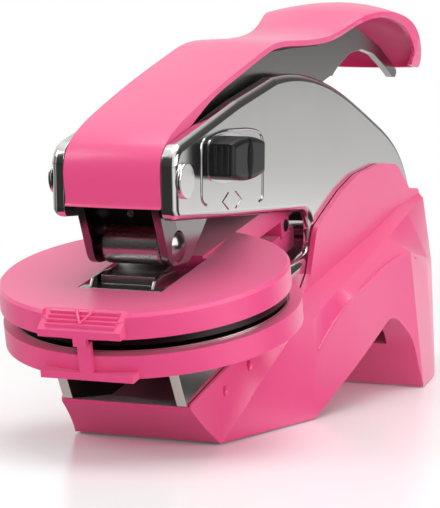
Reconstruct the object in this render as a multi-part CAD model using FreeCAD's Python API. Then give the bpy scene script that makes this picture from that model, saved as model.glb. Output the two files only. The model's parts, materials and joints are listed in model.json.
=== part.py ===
import FreeCAD, Part
import math
import os
from FreeCAD import Vector

# Desk seal embosser. Millimetres, +Z up, the jaw mouth faces -Y, X runs across the machine.
# Side outlines are tables of shares: the first number of a pair follows body_length along Y,
# the second follows body_height along Z. The pitched jaw line carries the die clip.

# Driving dimensions of the whole machine
body_length = 125.0
body_height = 80.0
base_half_width = 33.0
cheek_half_width = 16.3

# Pressed steel frame: two plates side by side
frame_half_width = 14.8
plate_thickness = 2.3
flange_reach = 1.0
flange_bend_radius = 1.8
frame_inner_half = frame_half_width - plate_thickness
flange_inner_half = frame_inner_half - flange_reach

# Clearances
seat_gap = 0.1
slide_gap = 0.2
running_gap = 0.05
cover_gap = 0.3
overrun = 1.0
touch_length = 1e-6

# Moulded base
base_wall = 2.4
foot_radius = 3.6
foot_height = 1.4
screw_radius = 1.5
screw_head_radius = 3.0
screw_head_height = 1.6

# Die clip, measured square to the jaw line
jaw_pitch_deg = 12.5
lower_holder_radius = 33.0
lower_holder_height = 5.1
upper_holder_step = 1.0
upper_holder_radius = lower_holder_radius - upper_holder_step
upper_holder_wall = 5.4
upper_rim_bevel = 0.65
upper_dish_depth = 0.6
seat_fall = 2.0
dish_outer_share = 0.84
dish_inner_share = 0.60
seat_front_share = 0.40
seat_back_share = 0.36
upper_setback = -2.7
holder_gap = 3.2
die_rim = 2.8
die_radius = lower_holder_radius - die_rim
die_plate_thickness = 3.6
die_lip = 0.3
die_closed_gap = 0.2
tail_half_width = 9.0
tail_length = 15.0
clip_pin_radius = 1.5
clip_eye_radius = 1.6 * clip_pin_radius
hinge_ahead = 3.0
tab_half_width = 9.6
tab_overhang = 1.2
tab_height = 1.6
tab_fall = 3.2
tab_back_share = 0.92
rib_width = 1.0
rib_height = 0.5
rib_count = 4
finger_width = 3.0
finger_thickness = 1.3
finger_drop = 0.4 * holder_gap

# Handle, lever and roller
cover_wall = 1.2
cover_half_width = 11.3
palm_half_width = 15.8
lever_thickness = 1.8
lever_half_width = 9.8
pivot_radius = 1.6
pivot_behind_nose = 4.5
pivot_head_radius = 3.5
pivot_head_height = 0.7
bush_radius = 2.2
roller_radius = 4.2
roller_half_length = 6.8
roller_pin_radius = 1.8
roller_head_radius = 3.5
roller_head_height = 1.2
roller_lift = 2.716
lobe_ahead = 4.05
lobe_behind = 5.95
lobe_below = 4.2
lobe_heel = 3.84
lobe_corner_radius = 4.0
lobe_heel_radius = 3.0
belly_radius = 3.0
tail_lip_radius = 1.0
tail_radius = 4.0
hook_radius = 1.5
back_radius = 5.0
ear_thickness = 0.7
ear_reach = 1.45 * roller_radius
ear_corner_radii = (0, 1, 0.5, 1, 0, 0)
apron_depth = 0.7 * roller_radius
pad_length = 2.2 * roller_radius
spring_wire_radius = 0.45
spring_turns = 9
leaf_thickness = 0.4
press_turn_deg = 9.5

# Lock slider on the near side
knob_length = 18.4
knob_height = 9.6
knob_reach = 5.6
knob_barrel_rise = 1.3
knob_groove_half_width = 1.3
knob_groove_depth = 0.9
lock_travel = 8.0
stem_height = 4.0
stem_length = 5.0
lock_bar_thickness = 1.6
lock_bar_length = 16.0
lock_bar_height = 6.0

# Places in the side view, as shares of length and height
pivot_height_share = 0.73
roller_along_share = -0.0416
jaw_seat_shares = (0.0304, 0.306)
corner_reach_share = 0.49
knob_shares = (0.0696, 0.777)
spacer_shares = ((0.60, 0.50), (0.86, 0.515))
spacer_radius = 3.2
rivet_radius = 2.0

nose_share = (-0.1464, 0.815)
slope_share = (0.1256, 0.930)
slope_radius = 60.0
nose_foot_share = (-0.14, 0.625)
throat_shares = ((0.488, 0.586), (0.488, 0.470))
arm_toe_share = (-0.0928, 0.124)
frame_foot_shares = ((0.064, 0.10), (0.32, 0.181), (0.496, 0.306), (0.90, 0.306), (1.035, 0.45))
crown_shares = ((1.062, 0.597), (0.996, 0.7225), (0.832, 0.8425), (0.644, 0.939),
                (0.44, 0.995), (0.30, 0.990))
nose_front_radius = 5.0
nose_foot_radius = 2.5
throat_radius = 6.0
arm_front_share = 0.68

# Stations of the flank: along, foot x, fin x, fin z, ledge x, ledge z, rim x, rim z
flank_shares = (
    (-0.112, 0.473, 0.473, -0.140, 0.473, -0.128, 0.467, 0.116),
    (0.0, 0.539, 0.539, -0.012, 0.539, 0.0, 0.478, 0.169),
    (0.24, 0.682, 0.682, 0.175, 0.679, 0.266, 0.488, 0.281),
    (0.3176, 0.727, 0.727, 0.194, 0.703, 0.294, 0.490, 0.316),
    (0.496, 0.833, 0.773, 0.3375, 0.661, 0.3575, 0.494, 0.379),
    (0.784, 1.0, 0.818, 0.429, 0.624, 0.4675, 0.494, 0.479),
    (0.944, 0.861, 0.745, 0.3875, 0.591, 0.5325, 0.494, 0.547),
    (1.10, 0.656, 0.590, 0.350, 0.523, 0.569, 0.494, 0.5875))
base_outline_shares = ((0.0, 0.005), (1.068, 0.005), (1.088, 0.25), (1.082, 0.598), (1.022, 0.602),
                       (0.940, 0.690), (0.8392, 0.700), (0.7048, 0.676), (0.620, 0.634), (0.544, 0.580),
                       (0.4832, 0.534), (0.466, 0.460), (0.452, 0.401), (0.400, 0.363),
                       (-0.096, 0.125))
base_corner_radii = (1, 3, 3, 1.5, 4, 8, 10, 14, 14, 14, 4, 2, 1, 1, 1)
cheek_foot_shares = ((0.32, 0.20), (1.082, 0.20))
arch_shares = ((0.3176, 0.0), (0.675, 0.254), (0.755, 0.165), (0.784, 0.0))
arch_radii = (0, 0, 8, 9, 0, 0)
rear_hollow_shares = ((0.804, 0.0), (1.03, 0.0), (1.03, 0.26), (0.804, 0.26))
rear_window_shares = ((0.68, 0.138), (0.83, 0.138), (0.83, 0.215), (0.68, 0.215))
rear_window_half = 22.0
rear_hollow_half = 19.0
foot_places_shares = ((0.075, 0.40), (0.87, 0.72))
anvil_front = 0.6 * lower_holder_radius
anvil_length = 1.5 * lower_holder_radius
anvil_thickness = 1.4 * plate_thickness
base_screw_share = 0.84
base_screw_across_share = 0.22

# Stations of the cover along its top line: along, height, half width, crown drop, skirt depth.
# Half width is a share of the strap, drop and skirt are shares of the wall.
cover_shares = (
    (-0.1472, 0.655, 1.0, 0.30, 1.12),
    (-0.1500, 0.744, 1.0, 0.30, 1.12),
    (-0.1360, 0.812, 1.0, 0.30, 1.9),
    (-0.092, 0.862, 1.0, 0.30, 2.4),
    (-0.028, 0.9045, 1.0, 0.30, 2.3),
    (0.056, 0.951, 1.0, 0.30, 1.3),
    (0.1416, 0.995, 1.0, 0.30, 1.12),
    (0.264, 1.052, 1.0, 0.30, 1.12),
    (0.352, 1.088, 1.0, 0.32, 1.12),
    (0.48, 1.099, 1.0, 0.34, 1.12),
    (0.60, 1.106, 1.0, 0.40, 1.12))
palm_shares = (
    (0.688, 1.128, 0.74, 0.55, 1.12),
    (0.752, 1.166, 0.815, 0.95, 1.12),
    (0.80, 1.192, 0.90, 1.30, 1.12),
    (0.864, 1.208, 0.975, 1.70, 1.2),
    (0.944, 1.2125, 1.0, 2.3, 1.8),
    (1.02, 1.196, 1.02, 2.7, 2.8),
    (1.080, 1.146, 1.04, 2.9, 4.2),
    (1.108, 1.068, 1.04, 2.8, 4.8),
    (1.102, 0.996, 1.0, 2.5, 4.6))
ear_shares = ((-1.90, -0.10), (-1.25, 0.70), (-0.95, 0.86), (-0.92, 0.54), (0.30, 0.34), (0.50, -0.10))
pad_ahead_share = 0.68
lever_front_share = (-0.1285, 0.6675)
lever_heel_share = (0.084, 0.6125)
lever_belly_shares = ((0.24, 0.735), (0.44, 0.8625), (0.645, 0.9675), (0.700, 0.989), (0.722, 1.008))
lever_tail_shares = ((0.79, 1.050), (0.86, 1.062), (0.93, 1.046), (0.99, 1.010), (1.048, 0.969))
lever_hook_shares = ((1.070, 0.966), (1.078, 0.990), (0.965, 1.072), (0.83, 1.132))
lever_top_shares = (0.78, 0.70, 0.60, 0.48, 0.368, 0.264, 0.1416, -0.02, -0.085)
lever_nose_share = (-0.1312, 0.765)
web_top_shares = (0.52, 0.48, 0.368, 0.264, 0.1416, 0.06)
slanted_wall_share = 1.17
cover_screw_shares = (0.205, 0.42)


def side(share_pair):
    # A place in the side view from its shares.
    return share_pair[0] * body_length, share_pair[1] * body_height


def jaw_point(along, above):
    # A place in the side view, measured along and square to the jaw line.
    turn = math.radians(jaw_pitch_deg)
    seat_y, seat_z = side(jaw_seat_shares)
    return (seat_y + along * math.cos(turn) - above * math.sin(turn),
            seat_z + along * math.sin(turn) + above * math.cos(turn))


def on_jaw(shape):
    # Puts a shape that is built flat, with X across and Y rearward, on the jaw line.
    shape = shape.copy()
    shape.rotate(Vector(0, 0, 0), Vector(1, 0, 0), jaw_pitch_deg)
    seat_y, seat_z = side(jaw_seat_shares)
    shape.translate(Vector(0, seat_y, seat_z))
    return shape


def edge_runs(corners, radii):
    # Straight runs and corner arcs of a closed outline in the side plane.
    count = len(corners)
    runs = []
    for index in range(count):
        before = Vector(0, *corners[index - 1])
        here = Vector(0, *corners[index])
        after = Vector(0, *corners[(index + 1) % count])
        back = before - here
        ahead = after - here
        radius = radii[index]
        if radius == 0:
            runs.append((here, None, here))
            continue
        half_angle = back.getAngle(ahead) / 2
        longest = corner_reach_share * min(back.Length, ahead.Length)
        reach = min(radius / math.tan(half_angle), longest)
        radius = reach * math.tan(half_angle)
        back.normalize()
        ahead.normalize()
        middle = back + ahead
        middle.normalize()
        top = here + middle * (radius / math.sin(half_angle) - radius)
        runs.append((here + back * reach, top, here + ahead * reach))
    return runs


def side_wire(corners, radii):
    runs = edge_runs(corners, radii)
    edges = []
    for index, (start, top, end) in enumerate(runs):
        if top is not None:
            edges.append(Part.Arc(start, top, end).toShape())
        following = runs[(index + 1) % len(runs)][0]
        if end.distanceToPoint(following) > touch_length:
            edges.append(Part.makeLine(end, following))
    return Part.Wire(edges)


def side_prism(corners, x_from, x_to, radii=None):
    # A plate of a side outline between two places across the machine.
    wire = side_wire(corners, radii or [0] * len(corners))
    face = Part.Face(wire)
    face.translate(Vector(x_from, 0, 0))
    return face.extrude(Vector(x_to - x_from, 0, 0))


def cross_rod(place, radius, x_from, x_to):
    return Part.makeCylinder(radius, x_to - x_from, Vector(x_from, place[0], place[1]), Vector(1, 0, 0))


def domed_head(place, radius, height, x_face, outward):
    # A low domed head: a ball cap standing on the face.
    ball = (radius * radius + height * height) / (2 * height)
    centre = Vector(x_face + outward * (height - ball), place[0], place[1])
    cap = Part.makeSphere(ball, centre)
    low, high = sorted((x_face, x_face + outward * height))
    return cap.common(cross_rod(place, radius, low, high))


def both_sides(shape):
    return [shape, shape.mirror(Vector(0, 0, 0), Vector(1, 0, 0))]


def turned(place, centre, degrees):
    # A side-view place turned about a centre, the sense of a turn about +X.
    turn = math.radians(degrees)
    dy, dz = place[0] - centre[0], place[1] - centre[1]
    return (centre[0] + dy * math.cos(turn) - dz * math.sin(turn),
            centre[1] + dy * math.sin(turn) + dz * math.cos(turn))


def above_jaw(y, above):
    # How far along the jaw line a place lies that has this Y and this height above the line.
    turn = math.radians(jaw_pitch_deg)
    return (y - side(jaw_seat_shares)[0] + above * math.sin(turn)) / math.cos(turn)


upper_floor = lower_holder_height + holder_gap
upper_top = upper_floor + upper_holder_wall
lower_die_floor = lower_holder_height + die_lip - die_plate_thickness / 2
hinge_level = lower_holder_height + holder_gap / 2
pivot = (side(nose_share)[0] + pivot_behind_nose, pivot_height_share * body_height)
roller_level = upper_top + roller_lift + roller_radius
roller_axis = jaw_point(above_jaw(roller_along_share * body_length, roller_level), roller_level)
clip_pin_setback = above_jaw(side(throat_shares[1])[0] - hinge_ahead, hinge_level)
clip_axis = jaw_point(clip_pin_setback, hinge_level)


def jaw_height(place):
    # Height of a side-view place above the jaw line.
    turn = math.radians(jaw_pitch_deg)
    seat_y, seat_z = side(jaw_seat_shares)
    return -(place[0] - seat_y) * math.sin(turn) + (place[1] - seat_z) * math.cos(turn)


def clip_open_turn():
    # The turn by which the upper holder stands open at rest: the roller has the same small gap
    # to the saddle at rest as when the handle is pressed home.
    pressed = turned(roller_axis, pivot, -press_turn_deg)
    saddle_level = jaw_height(pressed)
    low, high = 0.0, press_turn_deg
    for _ in range(40):
        middle = (low + high) / 2
        if jaw_height(turned(roller_axis, clip_axis, middle)) > saddle_level:
            low = middle
        else:
            high = middle
    return middle, saddle_level - roller_radius - 3 * running_gap


clip_turn_deg, saddle_top = clip_open_turn()


def opened(shape):
    # The upper half of the clip as it stands at rest, front edge up.
    shape = shape.copy()
    shape.rotate(Vector(0, clip_axis[0], clip_axis[1]), Vector(1, 0, 0), -clip_turn_deg)
    return shape


def frame_plate():
    # One steel plate: a C with the nose above, the throat behind and the anvil arm below.
    nose = side(nose_share)
    nose_foot = side(nose_foot_share)
    throat_top = side(throat_shares[0])
    throat_foot = jaw_point(0, 0)
    slope = math.tan(math.radians(jaw_pitch_deg))
    back_y = side(throat_shares[1])[0]
    throat_foot = (back_y, throat_foot[1] + (back_y - throat_foot[0]) * slope)
    toe = side(arm_toe_share)
    arm_front = jaw_point(-upper_holder_radius * arm_front_share, 0)
    corners = [nose, nose_foot, throat_top, throat_foot, arm_front, toe]
    radii = [nose_front_radius, nose_foot_radius, throat_radius, throat_radius / 2, 0, 0]
    for share in frame_foot_shares:
        corners.append(side(share))
        radii.append(0)
    crown = [Vector(0, *side(share)) for share in crown_shares]
    corners.append((crown[0].y, crown[0].z))
    corners.append((crown[-1].y, crown[-1].z))
    corners.append(side(slope_share))
    radii += [0, 0, slope_radius]
    runs = edge_runs(corners, radii)
    edges = []
    for index, (start, top, end) in enumerate(runs):
        if top is not None:
            edges.append(Part.Arc(start, top, end).toShape())
        following = runs[(index + 1) % len(runs)][0]
        if index == len(corners) - 3:
            curve = Part.BSplineCurve()
            curve.interpolate(crown)
            edges.append(curve.toShape())
        else:
            edges.append(Part.makeLine(end, following))
    face = Part.Face(Part.Wire(edges))
    face.translate(Vector(flange_inner_half, 0, 0))
    plate = face.extrude(Vector(frame_half_width - flange_inner_half, 0, 0))

    # The bend along the nose and the front slope
    bend = []
    for edge in plate.Edges:
        box = edge.BoundBox
        on_face = box.XMin > frame_half_width - seat_gap
        ahead = box.YMax < crown[-1].y + seat_gap and box.ZMin > nose_foot[1] - seat_gap
        slope_or_nose = box.ZMax > nose_foot[1] + nose_foot_radius + seat_gap
        if on_face and ahead and slope_or_nose:
            bend.append(edge)
    plate = plate.makeFillet(flange_bend_radius, bend)

    # Behind the flange only the flat plate is left
    slope_turn = math.atan2(crown[-1].z - nose[1], crown[-1].y - nose[0])
    lower = plate_thickness / math.cos(slope_turn)
    slope = side(slope_share)
    inside = [(nose[0] + plate_thickness, 0),
              (nose[0] + plate_thickness, nose[1] - lower),
              (slope[0], slope[1] - lower),
              (crown[-1].y, crown[-1].z - lower),
              (crown[-1].y, body_height + plate_thickness),
              (body_length + nose_front_radius * plate_thickness, body_height + plate_thickness),
              (body_length + nose_front_radius * plate_thickness, 0)]
    plate = plate.cut(side_prism(inside, flange_inner_half - overrun, frame_inner_half,
                                 [0, nose_front_radius / 2, slope_radius, 0, 0, 0, 0]))
    ahead_of_nose = nose[0] - overrun * plate_thickness
    arm_strip = [(ahead_of_nose, 0), (ahead_of_nose, nose_foot[1] - overrun),
                 (nose[0] + plate_thickness + overrun, nose_foot[1] - overrun),
                 (nose[0] + plate_thickness + overrun, 0)]
    plate = plate.cut(side_prism(arm_strip, flange_inner_half - overrun, frame_inner_half))

    # Bores for the pivot and the spacer rivets
    plate = plate.cut(cross_rod(pivot, pivot_radius + running_gap, 0, frame_half_width + overrun))
    for share in spacer_shares:
        plate = plate.cut(cross_rod(side(share), rivet_radius + running_gap, 0, frame_half_width + overrun))
    return plate


def lock_slot():
    # The window in the near plate that the knob's stem slides in.
    y, z = side(knob_shares)
    half = stem_length / 2 + slide_gap
    return Part.makeBox(plate_thickness + 2 * overrun, 2 * half + lock_travel, stem_height + 2 * slide_gap,
                        Vector(frame_inner_half - overrun, y - half, z - stem_height / 2 - slide_gap))


def flank_wire(station, grow):
    y = station[0] * body_length
    foot = station[1] * base_half_width - grow
    fin = (station[2] * base_half_width - grow, station[3] * body_height)
    ledge = (station[4] * base_half_width - grow, station[5] * body_height)
    rim = (station[6] * base_half_width - grow, station[7] * body_height)
    below = -base_half_width / 2
    right = [(foot, below), fin, ledge, rim]
    points = [Vector(x, y, z) for x, z in right]
    points += [Vector(-x, y, z) for x, z in reversed(right)]
    return Part.makePolygon(points + points[:1])


def base_housing():
    # The moulded body: flared flanks, two cheeks round the frame, an arch and hollow feet.
    body = Part.makeLoft([flank_wire(station, 0) for station in flank_shares], True, True)
    outline = [side(share) for share in base_outline_shares]
    cheek = outline[2:-2] + [side(share) for share in cheek_foot_shares]
    body = body.fuse(side_prism(cheek, -cheek_half_width, cheek_half_width))
    wide = base_half_width + overrun
    body = body.common(side_prism(outline, -wide, wide, base_corner_radii))

    # The channel that takes the frame, open above
    floor = [(y + slide_gap, z - slide_gap) for y, z in
             (side(share) for share in (arm_toe_share,) + frame_foot_shares + crown_shares[:1])]
    high = body_height * 2
    channel = [(-body_length, floor[0][1])] + floor + [(floor[-1][0], high), (-body_length, high)]
    half = frame_half_width + slide_gap
    body = body.cut(side_prism(channel, -half, half))

    arch = [side(share) for share in arch_shares]
    arch = [(arch[0][0], -overrun)] + arch + [(arch[-1][0], -overrun)]
    body = body.cut(side_prism(arch, -wide, wide, arch_radii))
    hollow = [side(share) for share in rear_hollow_shares]
    hollow = [(hollow[0][0], -overrun), (hollow[1][0], -overrun)] + hollow[2:]
    body = body.cut(side_prism(hollow, -rear_hollow_half, rear_hollow_half, [0, 0, base_wall, base_wall]))
    window = [side(share) for share in rear_window_shares]
    body = body.cut(side_prism(window, -rear_window_half, rear_window_half))
    for x, y in foot_places():
        body = body.cut(Part.makeCylinder(foot_radius + seat_gap, foot_height + overrun,
                                          Vector(x, y, -overrun)))
    for x, y in base_screw_places():
        body = body.cut(Part.makeCylinder(screw_radius, body_height, Vector(x, y, 0)))
        body = body.cut(Part.makeCylinder(screw_head_radius + seat_gap, screw_head_height + foot_height,
                                          Vector(x, y, 0)))
    return body.removeSplitter()


def foot_places():
    places = []
    for along, across in foot_places_shares:
        for side_sign in (-1, 1):
            places.append((side_sign * across * base_half_width, along * body_length))
    return places


def rubber_feet():
    return Part.makeCompound([Part.makeCylinder(foot_radius, foot_height, Vector(x, y, 0))
                              for x, y in foot_places()])


def base_screw_places():
    # Two screws rise through the front foot into the anvil bed.
    across = base_screw_across_share * base_half_width
    along = base_screw_share * anvil_length - anvil_front
    return [(x, jaw_point(along, 0)[0]) for x in (-across, across)]


def lower_holder():
    # The lower pink ring with its seat for the counter die, the front tab and the tail.
    disc = Part.makeCylinder(lower_holder_radius, lower_holder_height)
    tail = Part.makeBox(2 * tail_half_width, clip_pin_setback + tail_length / 3, lower_holder_height,
                        Vector(-tail_half_width, 0, 0))
    reach = lower_holder_radius + tab_overhang
    tab_half = tab_half_width + tab_overhang
    tab = Part.makeBox(2 * tab_half, reach, tab_height, Vector(-tab_half, -reach, 0))
    body = disc.fuse(tail).fuse(tab)
    eye = Part.makeBox(tail_half_width / 2, tail_length / 3, holder_gap / 2 + clip_pin_radius * 2,
                       Vector(-tail_half_width / 4, clip_pin_setback - tail_length / 6,
                              lower_holder_height))
    body = body.fuse(eye)
    finger = Part.makeBox(finger_width, finger_thickness, lower_holder_height + holder_gap,
                          Vector(-finger_width / 2, -reach, 0))
    room_foot = hinge_level - clip_eye_radius - slide_gap
    for x in (-tail_half_width - slide_gap, tail_half_width / 2 - slide_gap):
        room = Part.makeBox(tail_half_width / 2 + 2 * slide_gap, tail_length / 2, lower_holder_height,
                            Vector(x, clip_pin_setback - tail_length / 4, room_foot))
        body = body.cut(room)
    body = body.fuse(finger)
    seat = Part.makeCylinder(die_radius + seat_gap, lower_holder_height, Vector(0, 0, lower_die_floor))
    body = body.cut(seat)
    pin = clip_pin_hole(running_gap)
    return on_jaw(body.cut(pin).removeSplitter())


def clip_pin_hole(gap):
    # The clip pin's bore in the holders' own flat frame.
    centre = Vector(-base_half_width, clip_pin_setback, hinge_level)
    return Part.makeCylinder(clip_pin_radius + gap, 2 * base_half_width, centre, Vector(1, 0, 0))


def lower_die():
    plate = Part.makeCylinder(die_radius, die_plate_thickness / 2 - seat_gap,
                              Vector(0, 0, lower_die_floor + seat_gap))
    return on_jaw(plate)


def saddle_sizes():
    # The sunk seat in the dish: from, to along the jaw line, half width and level of its front edge.
    front = upper_setback - seat_front_share * upper_holder_radius
    back = upper_setback + seat_back_share * upper_holder_radius
    return front, back, lever_half_width + slide_gap, upper_top - upper_dish_depth - ear_thickness


def seat_slab(inset, low, high):
    # The side outline of what lies between two levels above the seat's falling floor.
    front, back, half, floor = saddle_sizes()
    fall = seat_fall / (back - front)
    points = [(front + inset, floor + low - inset * fall),
              (back - inset, floor + low - seat_fall + inset * fall)]
    if high is None:
        return points + [(back - inset, upper_top + overrun), (front + inset, upper_top + overrun)]
    return points + [(y, z + high - low) for y, z in reversed(points)]


def upper_holder():
    # The upper pink dish: a flat ring, a shallow dish, the sunk seat, front tab, tail with two eyes.
    low = upper_top - upper_dish_depth
    bevel = upper_rim_bevel
    radius = upper_holder_radius
    profile = [Vector(0, 0, upper_floor), Vector(radius, 0, upper_floor),
               Vector(radius, 0, upper_top - bevel), Vector(radius - bevel, 0, upper_top),
               Vector(radius * dish_outer_share, 0, upper_top),
               Vector(radius * dish_inner_share, 0, low), Vector(0, 0, low)]
    dish = Part.Face(Part.makePolygon(profile + profile[:1]))
    dish = dish.revolve(Vector(0, 0, 0), Vector(0, 0, 1), 360)
    dish.translate(Vector(0, upper_setback, 0))

    tail_end = clip_pin_setback + tail_length / 3
    tail = Part.makeBox(2 * tail_half_width, tail_end, upper_holder_wall,
                        Vector(-tail_half_width, 0, upper_floor))
    body = dish.fuse(tail)
    eye_depth = holder_gap / 2 + clip_eye_radius
    for x in (-tail_half_width, tail_half_width / 2):
        eye = Part.makeBox(tail_half_width / 2, tail_length / 3, eye_depth,
                           Vector(x, clip_pin_setback - tail_length / 6, upper_floor - eye_depth))
        body = body.fuse(eye)

    body = body.cut(tab_room()).fuse(front_tab())
    half = saddle_sizes()[2]
    body = body.cut(side_prism(seat_slab(0, 0, None), -half, half))
    bed = Part.makeCylinder(die_radius + seat_gap, die_plate_thickness / 2,
                            Vector(0, 0, upper_floor - overrun))
    body = body.cut(bed.common(Part.makeCylinder(upper_holder_radius - base_wall / 2, upper_top,
                                                 Vector(0, upper_setback, 0))))
    # Clearance of the upper tail over the eye of the lower one
    eye_room = Part.makeBox(tail_half_width / 2 + 2 * slide_gap, tail_length / 2,
                            holder_gap / 2 + clip_pin_radius * 2 + slide_gap,
                            Vector(-tail_half_width / 4 - slide_gap, clip_pin_setback - tail_length / 4,
                                   lower_holder_height))
    body = body.cut(eye_room)
    body = body.cut(clip_pin_hole(running_gap))
    return opened(on_jaw(body.removeSplitter()))


def tab_places():
    # The sloped tab: where it leaves the dish's top, and its front edge.
    back = -upper_holder_radius * tab_back_share + upper_setback * 0.5
    front = -upper_holder_radius + upper_setback - tab_overhang
    return back, upper_top, front, upper_top - tab_fall


def tab_room():
    # The rim is cut down to the slope of the tab.
    back, top, front, low = tab_places()
    slope = (top - low) / (front - back)
    high = top + tab_height
    points = [(back, top), (back, high), (front + slope, high), (front + slope, low)]
    return side_prism(points, -tab_half_width, tab_half_width)


def front_tab():
    # The lifting tab: a sloped wedge past the rim with ribs across it, and a guide leg below.
    back, top, front, low = tab_places()
    points = [(back, top), (front, low), (front, low - tab_height), (back, low - tab_height)]
    tab = side_prism(points, -tab_half_width, tab_half_width)
    half = tab_half_width - tab_height
    for index in range(rib_count):
        share = (index + 1) / (rib_count + 1)
        y = back + (front - back) * share
        z = top + (low - top) * share
        rib = Part.makeBox(2 * half, rib_width, rib_height * 2,
                           Vector(-half, y - rib_width / 2, z - rib_height))
        tab = tab.fuse(rib)
    foot = upper_floor - finger_drop
    leg = Part.makeBox(finger_width, finger_thickness, low - foot, Vector(-finger_width / 2, front, foot))
    return tab.fuse(leg)


def upper_die():
    # Its face stands a paper's gap above the counter die when the clip is shut.
    face_level = lower_holder_height + die_lip + die_closed_gap
    top = upper_floor - overrun + die_plate_thickness / 2 - seat_gap
    plate = Part.makeCylinder(die_radius - seat_gap, top - face_level, Vector(0, 0, face_level))
    rim_radius = upper_holder_radius - base_wall / 2 - seat_gap
    rim = Part.makeCylinder(rim_radius, upper_top, Vector(0, upper_setback, 0))
    return opened(on_jaw(plate.common(rim)))


def saddle_plate():
    # Bright plate on the crown's seat: a pad under the roller and two ears that reach behind it.
    front, back, half, floor = saddle_sizes()
    rest = seat_gap / 2
    along = above_jaw(roller_axis[0], roller_level)
    inner = roller_half_length + slide_gap
    narrow = inner + ear_thickness
    slab = seat_slab(slide_gap, rest, rest + ear_thickness)
    plate = side_prism(slab, -narrow, narrow)
    apron = side_prism(slab, slide_gap - half, half - slide_gap)
    apron = apron.common(Part.makeBox(2 * half, front + apron_depth + upper_holder_radius, 2 * upper_top,
                                      Vector(-half, -upper_holder_radius, 0)))
    pad_half = roller_half_length - 2 * slide_gap
    pad_front = along - pad_length * pad_ahead_share
    pad = Part.makeBox(2 * pad_half, pad_length, saddle_top - floor + seat_fall,
                       Vector(-pad_half, pad_front, floor - seat_fall))
    pad = pad.common(side_prism(seat_slab(slide_gap, rest, None), -half, half))
    body = plate.fuse(apron).fuse(pad)
    base_level = floor - seat_fall * pad_ahead_share + ear_thickness
    for x in (inner, -narrow):
        ear = [(along + ear_reach * ahead, base_level + ear_reach * above) for ahead, above in ear_shares]
        ear = side_prism(ear, x, x + ear_thickness, ear_corner_radii)
        body = body.fuse(ear.common(side_prism(seat_slab(slide_gap, rest, None), -half, half)))
    return opened(on_jaw(body.removeSplitter()))


def cover_wire(place, tangent, half, drop, skirt):
    # One cross-section of the cover: a crowned top with a skirt each side.
    normal = (-tangent[1], tangent[0])

    def at(x, down):
        return Vector(x, place[0] - normal[0] * down, place[1] - normal[1] * down)

    inner = half - cover_wall
    foot = drop + skirt
    outer_arc = Part.Arc(at(-half, drop), at(0, 0), at(half, drop)).toShape()
    deep = drop + cover_wall
    inner_arc = Part.Arc(at(inner, deep), at(0, cover_wall), at(-inner, deep)).toShape()
    right = Part.makePolygon([at(half, drop), at(half, foot), at(inner, foot), at(inner, deep)])
    left = Part.makePolygon([at(-inner, deep), at(-inner, foot), at(-half, foot), at(-half, drop)])
    return Part.Wire([outer_arc] + right.Edges + [inner_arc] + left.Edges)


def cover_stations():
    stations = []
    for table, full in ((cover_shares, cover_half_width), (palm_shares, palm_half_width)):
        for along, height, width, drop, skirt in table:
            stations.append((side((along, height)), width * full, drop * cover_wall, skirt * cover_wall))
    return stations


def handle_cover():
    stations = cover_stations()
    wires = []
    for index, (place, half, drop, skirt) in enumerate(stations):
        before = stations[max(index - 1, 0)][0]
        after = stations[min(index + 1, len(stations) - 1)][0]
        run = math.hypot(after[0] - before[0], after[1] - before[1])
        tangent = ((after[0] - before[0]) / run, (after[1] - before[1]) / run)
        wires.append(cover_wire(place, tangent, half, drop, skirt))
    return Part.makeLoft(wires, True, False)


def cover_level(along_share, column=1):
    # The cover's top line (or another column of its table) at a place along the machine.
    table = cover_shares + palm_shares
    for first, second in zip(table, table[1:]):
        if first[0] <= along_share <= second[0]:
            part = (along_share - first[0]) / (second[0] - first[0])
            found = first[column] + part * (second[column] - first[column])
            return found * (body_height if column == 1 else 1)
    return body_height


def under_cover(share):
    # A place under the cover's crown with room for the lever's edge.
    deep = cover_wall * (1 + cover_level(share, 3)) * slanted_wall_share
    return share * body_length, cover_level(share) - deep - cover_gap


def handle_lever():
    # A pressed steel channel: two arms with lobes for the roller, a web under the cover, a hooked tail.
    lobe = [(roller_axis[0] - lobe_ahead, roller_axis[1] - lobe_below),
            (roller_axis[0] + lobe_behind, roller_axis[1] - lobe_heel)]
    corners = [side(lever_front_share)] + lobe
    corners += [side(share) for share in
                (lever_heel_share,) + lever_belly_shares + lever_tail_shares + lever_hook_shares]
    corners += [under_cover(share) for share in lever_top_shares] + [side(lever_nose_share)]
    radii = [0, lobe_corner_radius, lobe_heel_radius, lobe_corner_radius] + [belly_radius] * 3
    radii += [tail_lip_radius, 2 * tail_lip_radius] + [tail_radius] * 4 + [0, hook_radius, hook_radius]
    radii += [back_radius] * (len(corners) - len(radii))
    inner = lever_half_width - lever_thickness
    arm = side_prism(corners, inner, lever_half_width, radii)
    arm = arm.cut(cross_rod(pivot, bush_radius + running_gap, 0, frame_half_width))
    arm = arm.cut(cross_rod(roller_axis, roller_pin_radius + running_gap / 2, 0, frame_half_width))
    lever = arm.fuse(arm.mirror(Vector(0, 0, 0), Vector(1, 0, 0)))
    top = [under_cover(share) for share in web_top_shares]
    top = [(y, z - cover_gap) for y, z in top]
    web = side_prism(top + [(y, z - lever_thickness) for y, z in reversed(top)],
                     -inner - overrun / 2, inner + overrun / 2)
    lever = lever.fuse(web)
    for share in cover_screw_shares:
        lever = lever.cut(cover_screw(share, seat_gap, 0))
    return lever.removeSplitter()


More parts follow.
